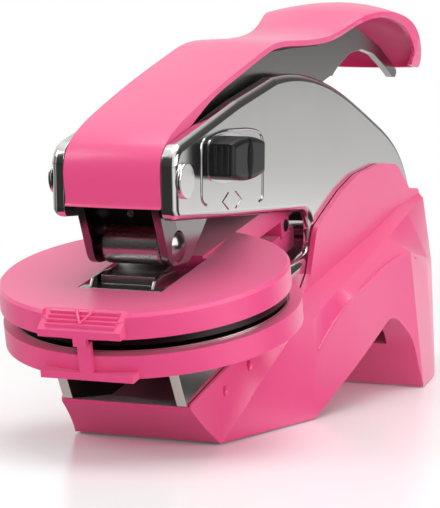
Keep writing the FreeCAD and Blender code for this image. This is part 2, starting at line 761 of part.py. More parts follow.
def cover_screw(share, grow, head):
    # A screw square to the cover, from under the web up to the cover's inside.
    step = 1 / body_length
    slope = math.atan2(cover_level(share + step) - cover_level(share - step), 2)
    y, z = share * body_length, cover_level(share)
    web_under = under_cover(share)[1] - cover_gap - lever_thickness
    axis = Vector(0, -math.sin(slope), math.cos(slope))
    top = Vector(0, y, z) - axis * (cover_wall + seat_gap)
    foot = Vector(0, y, z) - axis * ((z - web_under) * math.cos(slope) + seat_gap + head)
    if head == 0:
        return Part.makeCylinder(screw_radius + grow, screw_head_radius * 3, foot - axis, axis)
    shaft = Part.makeCylinder(screw_radius, (top - foot).Length, foot, axis)
    return shaft.fuse(Part.makeCylinder(screw_head_radius, head, foot, axis))


def cover_screws():
    # Short screws hold the lever's web up against the cover.
    return Part.makeCompound([cover_screw(share, 0, screw_head_height) for share in cover_screw_shares])


def handle_spring():
    # The return spring: a close coil on the pivot pin between the lever's arms.
    mean = pivot_radius + spring_wire_radius + slide_gap
    turns = spring_turns
    length = turns * spring_wire_radius * 2.5
    return spring_coil(pivot, mean, spring_wire_radius, turns, -length / 2)


def clip_spring():
    # A bent leaf on the lower tail that lifts the upper tail.
    low = lower_holder_height + seat_gap / 2
    rear = clip_pin_setback - tail_length * 0.3
    bend = clip_pin_setback - tail_length
    high = upper_floor - slide_gap
    leaf = [(rear, low), (bend, low), (bend, low + 2 * leaf_thickness), (rear, high),
            (rear, high - leaf_thickness), (bend + leaf_thickness * 2, low + leaf_thickness),
            (rear, low + leaf_thickness)]
    half = tail_half_width * 0.4
    return on_jaw(side_prism(leaf, -half, half))


def pivot_pin():
    shaft = cross_rod(pivot, pivot_radius, -frame_half_width, frame_half_width)
    head = domed_head(pivot, pivot_head_radius, pivot_head_height, frame_half_width, 1)
    right, left = both_sides(head)
    return shaft.fuse(right).fuse(left)


def pivot_bushes():
    # Flanged bushes in the lever's arms that turn on the pivot pin.
    inner = lever_half_width - lever_thickness - slide_gap
    ring = cross_rod(pivot, bush_radius, inner, flange_inner_half - slide_gap)
    ring = ring.cut(cross_rod(pivot, pivot_radius + running_gap, 0, frame_half_width))
    return Part.makeCompound(both_sides(ring))


def roller_pin():
    reach = lever_half_width
    shaft = cross_rod(roller_axis, roller_pin_radius, -reach, reach)
    head = domed_head(roller_axis, roller_head_radius, roller_head_height, reach, 1)
    right, left = both_sides(head)
    return shaft.fuse(right).fuse(left)


def roller():
    body = cross_rod(roller_axis, roller_radius, -roller_half_length, roller_half_length)
    rims = [edge for edge in body.Edges if edge.Closed]
    body = body.makeChamfer(roller_radius * 0.1, rims)
    bore = roller_pin_radius + running_gap
    return body.cut(cross_rod(roller_axis, bore, -frame_half_width, frame_half_width))


def spring_coil(place, radius, wire_radius, turns, x_from):
    # A close torsion spring wound along X.
    pitch = wire_radius * 2.5
    helix = Part.makeHelix(pitch, pitch * turns, radius)
    section = Part.Wire(Part.Circle(Vector(radius, 0, 0), Vector(0, 1, 0), wire_radius).toShape())
    coil = Part.Wire(helix).makePipeShell([section], True, True)
    coil.rotate(Vector(0, 0, 0), Vector(0, 1, 0), 90)
    coil.translate(Vector(x_from, place[0], place[1]))
    return coil


def frame_spacers():
    half = frame_inner_half - seat_gap / 2
    parts = []
    for share in spacer_shares:
        place = side(share)
        tube = cross_rod(place, spacer_radius, -half, half)
        parts.append(tube.cut(cross_rod(place, rivet_radius + running_gap, -half, half)))
    return Part.makeCompound(parts)


def frame_rivets():
    # Their flat heads lie in pockets of the plates, so the cheeks close over them.
    parts = []
    for share in spacer_shares:
        parts.append(cross_rod(side(share), rivet_radius, -frame_half_width, frame_half_width))
    return Part.makeCompound(parts)


def anvil_bed():
    # The bed between the anvil arms: flush with their top edges, under the lower holder.
    half = frame_inner_half - seat_gap
    bed = Part.makeBox(2 * half, anvil_length, anvil_thickness,
                       Vector(-half, -anvil_front, -anvil_thickness))
    bed = on_jaw(bed)
    for x, y in base_screw_places():
        bed = bed.cut(Part.makeCylinder(screw_radius, body_height, Vector(x, y, 0)))
    return bed


def base_screws():
    # From the counterbores under the front foot up into the anvil bed.
    parts = []
    for x, y in base_screw_places():
        seat_y, seat_z = jaw_point(0, 0)
        bed_level = seat_z + (y - seat_y) * math.tan(math.radians(jaw_pitch_deg))
        head = Part.makeCylinder(screw_head_radius, screw_head_height, Vector(x, y, foot_height))
        shaft = Part.makeCylinder(screw_radius - seat_gap, bed_level - plate_thickness - foot_height,
                                  Vector(x, y, foot_height))
        parts.append(head.fuse(shaft))
    return Part.makeCompound(parts)


def clip_pin():
    half = tail_half_width + slide_gap
    centre = Vector(-half, clip_pin_setback, hinge_level)
    return on_jaw(Part.makeCylinder(clip_pin_radius, 2 * half, centre, Vector(1, 0, 0)))


def lock_knob():
    # A barrel-shaped slider: bowed top and bottom, a lens groove in its face, a stem through the plate.
    y, z = side(knob_shares)
    x_from = frame_half_width + slide_gap
    half_l, half_h = knob_length / 2, knob_height / 2
    ends = half_h - knob_barrel_rise
    front_low, front_high = Vector(x_from, y - half_l, z - ends), Vector(x_from, y - half_l, z + ends)
    rear_low, rear_high = Vector(x_from, y + half_l, z - ends), Vector(x_from, y + half_l, z + ends)
    top = Part.Arc(front_high, Vector(x_from, y, z + half_h), rear_high).toShape()
    foot = Part.Arc(rear_low, Vector(x_from, y, z - half_h), front_low).toShape()
    rear, front = Part.makeLine(rear_high, rear_low), Part.makeLine(front_low, front_high)
    body = Part.Face(Part.Wire([top, rear, foot, front])).extrude(Vector(knob_reach, 0, 0))
    outer = [edge for edge in body.Edges if edge.BoundBox.XMin > x_from + knob_reach - seat_gap]
    body = body.makeFillet(knob_barrel_rise, outer)
    lens = (half_h * half_h + knob_groove_half_width ** 2) / (2 * knob_groove_half_width)
    deep = x_from + knob_reach - knob_groove_depth
    halves = [Part.makeCylinder(lens, knob_reach, Vector(deep, y + step, z), Vector(1, 0, 0))
              for step in (lens - knob_groove_half_width, knob_groove_half_width - lens)]
    body = body.cut(halves[0].common(halves[1]))
    stem_from = frame_inner_half - slide_gap
    stem = Part.makeBox(x_from - stem_from + overrun, stem_length, stem_height,
                        Vector(stem_from, y - stem_length / 2, z - stem_height / 2))
    return body.fuse(stem)


def lock_bar():
    # The bar on the stem's inner end that slides along the plate and bars the lever.
    y, z = side(knob_shares)
    x_to = frame_inner_half - slide_gap
    bar = Part.makeBox(lock_bar_thickness, lock_bar_length, lock_bar_height,
                       Vector(x_to - lock_bar_thickness, y - stem_length / 2, z - lock_bar_height / 2))
    across = lock_bar_thickness / 2
    ends = [edge for edge in bar.Edges if abs(edge.Vertexes[0].X - edge.Vertexes[-1].X) > across]
    return bar.makeFillet(lock_bar_height / 4, ends)


def build():
    right_plate = frame_plate()
    left_plate = right_plate.mirror(Vector(0, 0, 0), Vector(1, 0, 0))
    return {
        "base_housing": base_housing(),
        "rubber_feet": rubber_feet(),
        "base_screws": base_screws(),
        "frame_right_plate": right_plate.cut(lock_slot()),
        "frame_left_plate": left_plate,
        "frame_spacers": frame_spacers(),
        "frame_rivets": frame_rivets(),
        "anvil_bed": anvil_bed(),
        "pivot_pin": pivot_pin(),
        "pivot_bushes": pivot_bushes(),
        "handle_cover": handle_cover(),
        "handle_lever": handle_lever(),
        "cover_screws": cover_screws(),
        "roller_pin": roller_pin(),
        "roller": roller(),
        "upper_die_holder": upper_holder(),
        "upper_die_plate": upper_die(),
        "saddle_plate": saddle_plate(),
        "lower_die_holder": lower_holder(),
        "lower_die_plate": lower_die(),
        "clip_pin": clip_pin(),
        "clip_spring": clip_spring(),
        "handle_spring": handle_spring(),
        "lock_knob": lock_knob(),
        "lock_bar": lock_bar(),
    }


def main():
    os.makedirs("parts", exist_ok=True)
    pieces = build()
    whole = Part.makeCompound(list(pieces.values())).optimalBoundingBox()
    shift = Vector(0, -(whole.YMin + whole.YMax) / 2, 0)
    for name, shape in pieces.items():
        shape.translate(shift)
        shape.exportStep("parts/" + name + ".step")
        box = shape.BoundBox
        print("%-18s solids %d valid %s volume %.0f y %.1f %.1f z %.1f %.1f" % (
            name, len(shape.Solids), shape.isValid(), shape.Volume, box.YMin, box.YMax, box.ZMin, box.ZMax))
    for name, place in (("pivot", pivot), ("roller", roller_axis), ("clip", clip_axis)):
        print(name, round(place[0] + shift.y, 3), round(place[1], 3))
    print("clip turn", round(clip_turn_deg, 4), "saddle top", round(saddle_top, 3),
          "shift", round(shift.y, 3))


main()
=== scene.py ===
import bpy
import bmesh
import json
import math
from mathutils import Matrix, Vector


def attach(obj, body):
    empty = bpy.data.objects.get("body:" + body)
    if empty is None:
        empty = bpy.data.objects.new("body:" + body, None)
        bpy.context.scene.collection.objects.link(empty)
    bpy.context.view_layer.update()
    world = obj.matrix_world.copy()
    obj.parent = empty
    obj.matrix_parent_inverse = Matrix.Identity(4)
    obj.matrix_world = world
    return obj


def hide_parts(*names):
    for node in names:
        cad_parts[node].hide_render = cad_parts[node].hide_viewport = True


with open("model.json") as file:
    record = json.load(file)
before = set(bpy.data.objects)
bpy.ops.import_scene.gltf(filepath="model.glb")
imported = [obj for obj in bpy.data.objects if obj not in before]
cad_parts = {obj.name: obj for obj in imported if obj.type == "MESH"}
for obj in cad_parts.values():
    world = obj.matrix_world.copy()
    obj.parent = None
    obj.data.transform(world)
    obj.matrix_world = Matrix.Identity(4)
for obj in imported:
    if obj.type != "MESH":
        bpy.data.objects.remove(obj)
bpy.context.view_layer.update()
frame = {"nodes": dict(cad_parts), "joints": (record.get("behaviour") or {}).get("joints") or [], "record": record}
millimetre = 0.001
joints = {joint["name"]: joint for joint in frame["joints"]}
pivotBehindFront = -13.8  # mm from the base's front edge to the handle's pivot
frontY = joints["handle_press"]["pos_m"][1] / millimetre - pivotBehindFront
print("frame loaded:", len(frame["nodes"]), "nodes")


def place(x, y, z):
    # millimetres from the base's front edge, to metres in the frame
    return Vector((x, y + frontY, z)) * millimetre


# shared shader groups

def newGroup(name, inputs, outputs):
    tree = bpy.data.node_groups.new(name, "ShaderNodeTree")
    for label, kind, value in inputs:
        socket = tree.interface.new_socket(label, in_out="INPUT", socket_type=kind)
        if value is not None:
            socket.default_value = value
    for label, kind in outputs:
        tree.interface.new_socket(label, in_out="OUTPUT", socket_type=kind)
    return tree, tree.nodes.new("NodeGroupInput"), tree.nodes.new("NodeGroupOutput")


def addNode(tree, kind, links=None, **values):
    node = tree.nodes.new(kind)
    for key, value in values.items():
        setattr(node, key, value)
    for socket, source in (links or {}).items():
        target = node.inputs[socket]
        if isinstance(source, bpy.types.NodeSocket):
            tree.links.new(source, target)
        else:
            target.default_value = source
    return node


grain = {"slowScale": 28.0, "slowDetail": 3.0, "fineDetail": 2.0, "roughDrift": 0.12, "bumpDepth": 0.0004}


def buildMouldedGrain():
    # slow tint drift and a very fine skin, as on a moulding
    tree, start, end = newGroup(
        "mouldedGrain",
        [("Colour", "NodeSocketColor", None), ("Drift", "NodeSocketFloat", 0.05),
         ("Skin Scale", "NodeSocketFloat", 900.0), ("Skin Depth", "NodeSocketFloat", 0.02),
         ("Rough", "NodeSocketFloat", 0.3)],
        [("Colour", "NodeSocketColor"), ("Roughness", "NodeSocketFloat"), ("Height", "NodeSocketFloat")])
    coords = addNode(tree, "ShaderNodeTexCoord")
    slow = addNode(tree, "ShaderNodeTexNoise", {"Vector": coords.outputs["Object"],
                                                "Scale": grain["slowScale"],
                                                "Detail": grain["slowDetail"]})
    fine = addNode(tree, "ShaderNodeTexNoise", {"Vector": coords.outputs["Object"],
                                                "Scale": start.outputs["Skin Scale"],
                                                "Detail": grain["fineDetail"]})
    centred = addNode(tree, "ShaderNodeMath", {0: slow.outputs["Fac"], 1: 0.5}, operation="SUBTRACT")
    drift = addNode(tree, "ShaderNodeMath", {0: centred.outputs[0], 1: start.outputs["Drift"]},
                    operation="MULTIPLY")
    level = addNode(tree, "ShaderNodeMath", {0: drift.outputs[0], 1: 1.0}, operation="ADD")
    tinted = addNode(tree, "ShaderNodeHueSaturation", {"Color": start.outputs["Colour"],
                                                       "Value": level.outputs[0]})
    tree.links.new(tinted.outputs["Color"], end.inputs["Colour"])
    uneven = addNode(tree, "ShaderNodeMath", {0: centred.outputs[0], 1: grain["roughDrift"],
                                              2: start.outputs["Rough"]}, operation="MULTIPLY_ADD")
    tree.links.new(uneven.outputs[0], end.inputs["Roughness"])
    height = addNode(tree, "ShaderNodeMath", {0: fine.outputs["Fac"], 1: start.outputs["Skin Depth"]},
                     operation="MULTIPLY")
    tree.links.new(height.outputs[0], end.inputs["Height"])
    return tree


polish = {"lineScale": 900.0, "lineDetail": 3.0, "smearScale": 60.0, "smearDetail": 4.0, "smearTwist": 0.6,
          "darkening": -0.06, "brightest": 1.02, "bumpDepth": 0.0003}


def buildMetalSkin():
    # faint smears, hairlines and handling marks on metal
    tree, start, end = newGroup(
        "metalSkin",
        [("Colour", "NodeSocketColor", None), ("Rough", "NodeSocketFloat", 0.1),
         ("Hairlines", "NodeSocketFloat", 0.02), ("Smears", "NodeSocketFloat", 0.04),
         ("Stretch", "NodeSocketVector", None)],
        [("Colour", "NodeSocketColor"), ("Roughness", "NodeSocketFloat"), ("Height", "NodeSocketFloat")])
    coords = addNode(tree, "ShaderNodeTexCoord")
    stretched = addNode(tree, "ShaderNodeVectorMath", {0: coords.outputs["Object"],
                                                       1: start.outputs["Stretch"]}, operation="MULTIPLY")
    lines = addNode(tree, "ShaderNodeTexNoise", {"Vector": stretched.outputs[0], "Scale": polish["lineScale"],
                                                 "Detail": polish["lineDetail"]})
    smear = addNode(tree, "ShaderNodeTexNoise", {"Vector": coords.outputs["Object"],
                                                 "Scale": polish["smearScale"],
                                                 "Detail": polish["smearDetail"],
                                                 "Distortion": polish["smearTwist"]})
    smearAmount = addNode(tree, "ShaderNodeMath", {0: smear.outputs["Fac"], 1: start.outputs["Smears"],
                                                   2: start.outputs["Rough"]}, operation="MULTIPLY_ADD")
    roughness = addNode(tree, "ShaderNodeMath", {0: lines.outputs["Fac"], 1: start.outputs["Hairlines"],
                                                 2: smearAmount.outputs[0]}, operation="MULTIPLY_ADD")
    tree.links.new(roughness.outputs[0], end.inputs["Roughness"])
    darker = addNode(tree, "ShaderNodeMath", {0: smear.outputs["Fac"], 1: polish["darkening"],
                                              2: polish["brightest"]}, operation="MULTIPLY_ADD")
    tinted = addNode(tree, "ShaderNodeHueSaturation", {"Color": start.outputs["Colour"],
                                                       "Value": darker.outputs[0]})
    tree.links.new(tinted.outputs["Color"], end.inputs["Colour"])
    height = addNode(tree, "ShaderNodeMath", {0: lines.outputs["Fac"], 1: start.outputs["Hairlines"]},
                     operation="MULTIPLY")
    tree.links.new(height.outputs[0], end.inputs["Height"])
    return tree


mouldedGrain = buildMouldedGrain()
metalSkin = buildMetalSkin()


def startMaterial(name):
    material = bpy.data.materials.new(name)
    material.use_nodes = True
    tree = material.node_tree
    return material, tree, tree.nodes["Principled BSDF"]


def addSkin(tree, shader, group, look, sockets, bumpDepth):
    # the shared group with this material's own values, and its bump
    skin = addNode(tree, "ShaderNodeGroup", node_tree=group)
    skin.inputs["Colour"].default_value = (*look["colour"], 1.0)
    for socket, key in sockets.items():
        skin.inputs[socket].default_value = look[key]
    bump = addNode(tree, "ShaderNodeBump", {"Height": skin.outputs["Height"], "Strength": look["bump"],
                                            "Distance": bumpDepth})
    tree.links.new(skin.outputs["Colour"], shader.inputs["Base Color"])
    tree.links.new(skin.outputs["Roughness"], shader.inputs["Roughness"])
    tree.links.new(bump.outputs["Normal"], shader.inputs["Normal"])


softness = {"sheenRough": 0.45, "glowScale": 0.003, "glowSpread": (1.0, 0.35, 0.45)}


def plasticMaterial(name, look):
    material, tree, shader = startMaterial(name)
    sockets = {"Drift": "drift", "Skin Scale": "skinScale", "Skin Depth": "skinDepth", "Rough": "rough"}
    addSkin(tree, shader, mouldedGrain, look, sockets, grain["bumpDepth"])
    shader.inputs["Specular IOR Level"].default_value = look["specular"]
    shader.inputs["Sheen Weight"].default_value = look["sheen"]
    shader.inputs["Sheen Roughness"].default_value = softness["sheenRough"]
    shader.inputs["Subsurface Weight"].default_value = look["glow"]
    shader.inputs["Subsurface Scale"].default_value = softness["glowScale"]
    shader.inputs["Subsurface Radius"].default_value = softness["glowSpread"]
    return material


def metalMaterial(name, look):
    material, tree, shader = startMaterial(name)
    sockets = {"Rough": "rough", "Hairlines": "hairlines", "Smears": "smears", "Stretch": "stretch"}
    addSkin(tree, shader, metalSkin, look, sockets, polish["bumpDepth"])
    shader.inputs["Metallic"].default_value = look["metallic"]
    return material


plasticLooks = {
    "pinkPlastic": {"colour": (0.76, 0.044, 0.205), "drift": 0.05, "skinScale": 1500.0, "skinDepth": 0.5,
                    "bump": 0.06, "rough": 0.33, "specular": 1.0, "glow": 0.05, "sheen": 0.26},
    "blackPlastic": {"colour": (0.009, 0.009, 0.010), "drift": 0.2, "skinScale": 1800.0, "skinDepth": 0.6,
                     "bump": 0.12, "rough": 0.34, "specular": 0.40, "glow": 0.0, "sheen": 0.0},
    # painted shade: near black for the lens on the knob's face, which stands in for the shade in the hollow beside
    # its ridge
    "paintedShadeBlack": {"colour": (0.002, 0.002, 0.002), "drift": 0.2, "skinScale": 1800.0, "skinDepth": 0.4,
                    "bump": 0.05, "rough": 0.5, "specular": 0.15, "glow": 0.0, "sheen": 0.0},
    "footRubber": {"colour": (0.02, 0.02, 0.02), "drift": 0.2, "skinScale": 2200.0, "skinDepth": 0.8,
                   "bump": 0.3, "rough": 0.7, "specular": 0.3, "glow": 0.0, "sheen": 0.0}}
metalLooks = {
    "platedFrame": {"colour": (0.80, 0.79, 0.78), "rough": 0.07, "hairlines": 0.015, "smears": 0.05,
                    "stretch": (1.0, 1.0, 1.0), "bump": 0.03, "metallic": 1.0},
    "frameFace": {"colour": (0.83, 0.82, 0.81), "rough": 0.14, "hairlines": 0.015, "smears": 0.05,
                  "stretch": (1.0, 1.0, 1.0), "bump": 0.03, "metallic": 1.0},
    # painted reflection: a duller beige copy of the plate metal for the frame plates' front arms
    "armPaintedReflection": {"colour": (0.68, 0.64, 0.57), "rough": 0.26, "hairlines": 0.03, "smears": 0.06,
                 "stretch": (1.0, 1.0, 1.0), "bump": 0.04, "metallic": 0.25},
    # painted shade: near black on the frame plates' inner sides, where the space between the plates lies in shade
    "paintedShadeInner": {"colour": (0.035, 0.030, 0.030), "rough": 0.34, "hairlines": 0.03, "smears": 0.06,
                   "stretch": (1.0, 1.0, 1.0), "bump": 0.04, "metallic": 0.6},
    "pinHead": {"colour": (0.97, 0.96, 0.95), "rough": 0.14, "hairlines": 0.02, "smears": 0.04,
                "stretch": (1.0, 1.0, 1.0), "bump": 0.03, "metallic": 1.0},
    # painted shade: a darker copy of the lever steel for the lever's legs and the roller pin, which lie in the
    # dark in front
    "legPaintedShade": {"colour": (0.26, 0.235, 0.235), "rough": 0.12, "hairlines": 0.05, "smears": 0.08,
                 "stretch": (1.0, 1.0, 0.1), "bump": 0.06, "metallic": 1.0},
    "leverSteel": {"colour": (0.42, 0.41, 0.40), "rough": 0.16, "hairlines": 0.06, "smears": 0.10,
                   "stretch": (1.0, 0.08, 1.0), "bump": 0.08, "metallic": 1.0},
    "rollerSteel": {"colour": (0.60, 0.58, 0.57), "rough": 0.22, "hairlines": 0.06, "smears": 0.05,
                    "stretch": (0.2, 4.0, 4.0), "bump": 0.06, "metallic": 1.0},
    "counterDie": {"colour": (0.86, 0.83, 0.78), "rough": 0.16, "hairlines": 0.05, "smears": 0.06,
                   "stretch": (1.0, 1.0, 0.1), "bump": 0.05, "metallic": 1.0},
    "turnedSteel": {"colour": (0.74, 0.73, 0.73), "rough": 0.16, "hairlines": 0.05, "smears": 0.06,
                    "stretch": (4.0, 1.0, 1.0), "bump": 0.06, "metallic": 1.0},
    "springWire": {"colour": (0.42, 0.42, 0.43), "rough": 0.3, "hairlines": 0.05, "smears": 0.1,
                   "stretch": (1.0, 1.0, 1.0), "bump": 0.05, "metallic": 1.0},
    # painted shade: near black for the upper die plate and the lever bridge, standing in for the dark they reflect
    # and the shade between the lever's legs
    "paintedShadeDie": {"colour": (0.085, 0.072, 0.070), "rough": 0.26, "hairlines": 0.06, "smears": 0.08,
                 "stretch": (1.0, 1.0, 0.1), "bump": 0.06, "metallic": 1.0}}
materials = {}
for lookName, look in plasticLooks.items():
    materials[lookName] = plasticMaterial(lookName, look)
for lookName, look in metalLooks.items():
    materials[lookName] = metalMaterial(lookName, look)
print("materials made:", len(materials))


# turning a bmesh into a piece

def smoothShade(mesh, sharpDeg):
    for face in mesh.polygons:
        face.use_smooth = True
    mesh.set_sharp_from_angle(angle=math.radians(sharpDeg))


def finishPiece(bm, name, body, material, replaced=(), sharpDeg=32, extra=()):
    mesh = bpy.data.meshes.new(name)
    bm.to_mesh(mesh)
    bm.free()
    piece = bpy.data.objects.new(name, mesh)
    bpy.context.scene.collection.objects.link(piece)
    mesh.materials.append(materials[material])
    for other in extra:
        mesh.materials.append(materials[other])
    smoothShade(mesh, sharpDeg)
    flat = piece.modifiers.new("flatFaces", "WEIGHTED_NORMAL")
    flat.keep_sharp = True
    flat.weight = 100
    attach(piece, body)
    if replaced:
        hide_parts(*replaced)
    return piece


def roundEdges(bm, edges, width, segments):
    bmesh.ops.bevel(bm, geom=edges, offset=width * millimetre, offset_type="OFFSET", segments=segments,
                    profile=0.5, affect="EDGES", clamp_overlap=True, material=-1)


softening = {"doubles": 2e-6, "flatDeg": 0.6, "creaseDeg": 24, "slivers": 1e-7}


def softenedCopy(node, width, segments, creaseAngle):
    # the CAD solid with its doubles merged and its edges broken
    bm = bmesh.new()
    bm.from_mesh(frame["nodes"][node].data)
    bmesh.ops.remove_doubles(bm, verts=bm.verts, dist=softening["doubles"])
    bmesh.ops.dissolve_limit(bm, angle_limit=math.radians(softening["flatDeg"]), verts=bm.verts,
                             edges=bm.edges, use_dissolve_boundaries=False, delimit={"NORMAL"})
    sharp = [edge for edge in bm.edges if len(edge.link_faces) == 2
             and edge.calc_face_angle(0.0) > math.radians(creaseAngle)]
    roundEdges(bm, sharp, width, segments)
    bmesh.ops.remove_doubles(bm, verts=bm.verts, dist=softening["slivers"])
    return bm


# CAD solids with their edges broken

finishLimits = {"flat": 0.99, "nearlyFlat": 0.9, "outerFrom": 14.7, "armBelow": 24.0, "armAhead": 30.0,
                "legBelow": 54.0}


def outerFace(face):
    reach = abs(face.calc_center_median().x)
    return abs(face.normal.x) > finishLimits["flat"] and reach > finishLimits["outerFrom"] * millimetre


def innerFace(face):
    # the plates' inner sides, painted near black as painted shade because they see only the dark space between
    # them
    middle = face.calc_center_median()
    return face.normal.x * middle.x < 0.0 and abs(face.normal.x) > finishLimits["nearlyFlat"]


def armFace(face):
    # the plates' low front arms, which carry the lower jaw; they take a duller beige copy of the plate metal as a
    # painted reflection
    middle = face.calc_center_median()
    ahead = middle.y < (finishLimits["armAhead"] + frontY) * millimetre
    return ahead and middle.z < finishLimits["armBelow"] * millimetre


# the lever's lower faces, which take the darker painted-shade copy of its steel
def legFace(face):
    return face.calc_center_median().z < finishLimits["legBelow"] * millimetre


# faces that take another material than their piece, a real finish or painted shade and painted reflection: the
# later rule wins
finishesAndPaintedShade = {
    "frame_right_plate": (("frameFace", outerFace), ("armPaintedReflection", armFace), ("paintedShadeInner", innerFace)),
    "frame_left_plate": (("frameFace", outerFace), ("armPaintedReflection", armFace), ("paintedShadeInner", innerFace)),
    "handle_lever": (("legPaintedShade", legFace),)}
creaseDeg = {"base_housing": 8.5}
softened = {
    "base_housing": ("base", "pink_plastic", "pinkPlastic", 0.35, 3),
    "handle_cover": ("handle", "pink_plastic", "pinkPlastic", 0.35, 3),
    "upper_die_holder": ("upper_die", "pink_plastic", "pinkPlastic", 0.35, 3),
    "lower_die_holder": ("base", "pink_plastic", "pinkPlastic", 0.35, 3),
    "frame_right_plate": ("base", "bright_plate", "platedFrame", 0.3, 3),
    "frame_left_plate": ("base", "bright_plate", "platedFrame", 0.3, 3),
    "handle_lever": ("handle", "lever_steel", "leverSteel", 0.2, 2),
    "lock_knob": ("lock", "black_plastic", "blackPlastic", 0.3, 3),
    "saddle_plate": ("upper_die", "lever_steel", "leverSteel", 0.15, 2),
    "anvil_bed": ("base", "lever_steel", "leverSteel", 0.2, 2)}
for node, (body, slotName, material, width, segments) in softened.items():
    bm = softenedCopy(node, width, segments, creaseDeg.get(node, softening["creaseDeg"]))
    others = finishesAndPaintedShade.get(node, ())
    for index, (other, belongs) in enumerate(others, 1):
        for face in bm.faces:
            if belongs(face):
                face.material_index = index
    finishPiece(bm, node + "_finished", body, material, (node,),
                extra=[other for other, rule in others])
print("softened copies made:", len(softened))

# the upper die plate takes the near-black painted shade
kept = {
    "pivot_pin": "pinHead", "roller_pin": "legPaintedShade", "roller": "rollerSteel", "clip_pin": "turnedSteel",
    "frame_spacers": "turnedSteel", "frame_rivets": "turnedSteel", "pivot_bushes": "turnedSteel",
    "base_screws": "turnedSteel", "cover_screws": "turnedSteel", "lock_bar": "turnedSteel",
    "handle_spring": "springWire", "clip_spring": "springWire", "upper_die_plate": "paintedShadeDie",
    "lower_die_plate": "counterDie", "rubber_feet": "footRubber"}
for node, material in kept.items():
    mesh = frame["nodes"][node].data
    mesh.materials.clear()
    mesh.materials.append(materials[material])
for node in softened:
    mesh = frame["nodes"][node].data
    mesh.materials.clear()
    mesh.materials.append(materials[softened[node][2]])


# raised lines and small fittings

# how the dies lie, as y and z of their seat and of their hinge
jaw = {"seat": (3.8, 24.48), "pitchDeg": 12.5, "openDeg": 0.588, "hinge": (58.0, 43.36)}
roundness = {"across": 3, "along": 8}
squareDeg = 60  # an edge that turns by more is a square one


def onUpperDie(x, along, above):
    # a place on the upper holder, measured along and square to the line that the dies lie on
    turn, swing = math.radians(jaw["pitchDeg"]), math.radians(-jaw["openDeg"])
    y = jaw["seat"][0] + along * math.cos(turn) - above * math.sin(turn) - jaw["hinge"][0]
    z = jaw["seat"][1] + along * math.sin(turn) + above * math.cos(turn) - jaw["hinge"][1]
    return (x, jaw["hinge"][0] + y * math.cos(swing) - z * math.sin(swing),
            jaw["hinge"][1] + y * math.sin(swing) + z * math.cos(swing))


def addLines(name, runs, radius, body, material, kind="POLY"):
    # round raised lines along runs of places
    curve = bpy.data.curves.new(name, "CURVE")
    curve.dimensions = "3D"
    curve.bevel_depth = radius * millimetre
    curve.bevel_resolution = roundness["across"]
    curve.use_fill_caps = True
    for run in runs:
        spline = curve.splines.new(kind)
        spline.points.add(len(run) - 1)
        for point, spot in zip(spline.points, run):
            point.co = (*place(*spot), 1.0)
        if kind == "NURBS":
            spline.order_u = 3
            spline.use_endpoint_u = True
            spline.resolution_u = roundness["along"]
    shaped = bpy.data.objects.new(name + "_curve", curve)
    mesh = bpy.data.meshes.new_from_object(shaped)
    bm = bmesh.new()
    bm.from_mesh(mesh)
    bpy.data.objects.remove(shaped)
    return finishPiece(bm, name, body, material)


panel = {"face": 14.72, "line": 0.34, "arrowLine": 0.24,
         "run": ((-1.8, 52.5), (-4.4, 52.9), (-4.4, 57.0), (-4.6, 63.0), (-4.3, 66.6), (0.5, 67.5),
                 (7.0, 68.3), (14.0, 68.2), (22.0, 68.1), (29.8, 66.7), (29.8, 60.0), (29.8, 53.4),
                 (29.7, 51.6), (27.9, 51.4)),
         "arrows": (((10.1, 54.4), (6.9, 52.6), (10.1, 50.8)), ((14.2, 54.4), (17.3, 52.6), (14.2, 50.8)))}


def buildPanel():
    # the raised frame round the lock's travel, and the two arrows below the knob
    face = panel["face"]
    addLines("lock_panel_line", [[(face, y, z) for y, z in panel["run"]]],
             panel["line"], "base", "platedFrame", "NURBS")
    addLines("lock_arrows", [[(face, y, z) for y, z in arrow] for arrow in panel["arrows"]],
             panel["arrowLine"], "base", "platedFrame")


knob = {"middle": (8.7, 62.16), "half": (9.2, 4.8), "from": 15.0, "reach": 5.6, "bow": 1.3, "shieldRim": 0.6,
        "shieldFrom": 14.86, "shieldThick": 0.12, "shieldCuts": 9, "corner": 1.6, "cornerRings": 5,
        "ribs": (16.4, 17.8, 19.2), "ribRadius": 0.34, "ribEnd": 0.5, "lensHalf": (0.16, 1.85, 4.45),
        "lensSink": 0.06, "lensSides": (40, 20)}


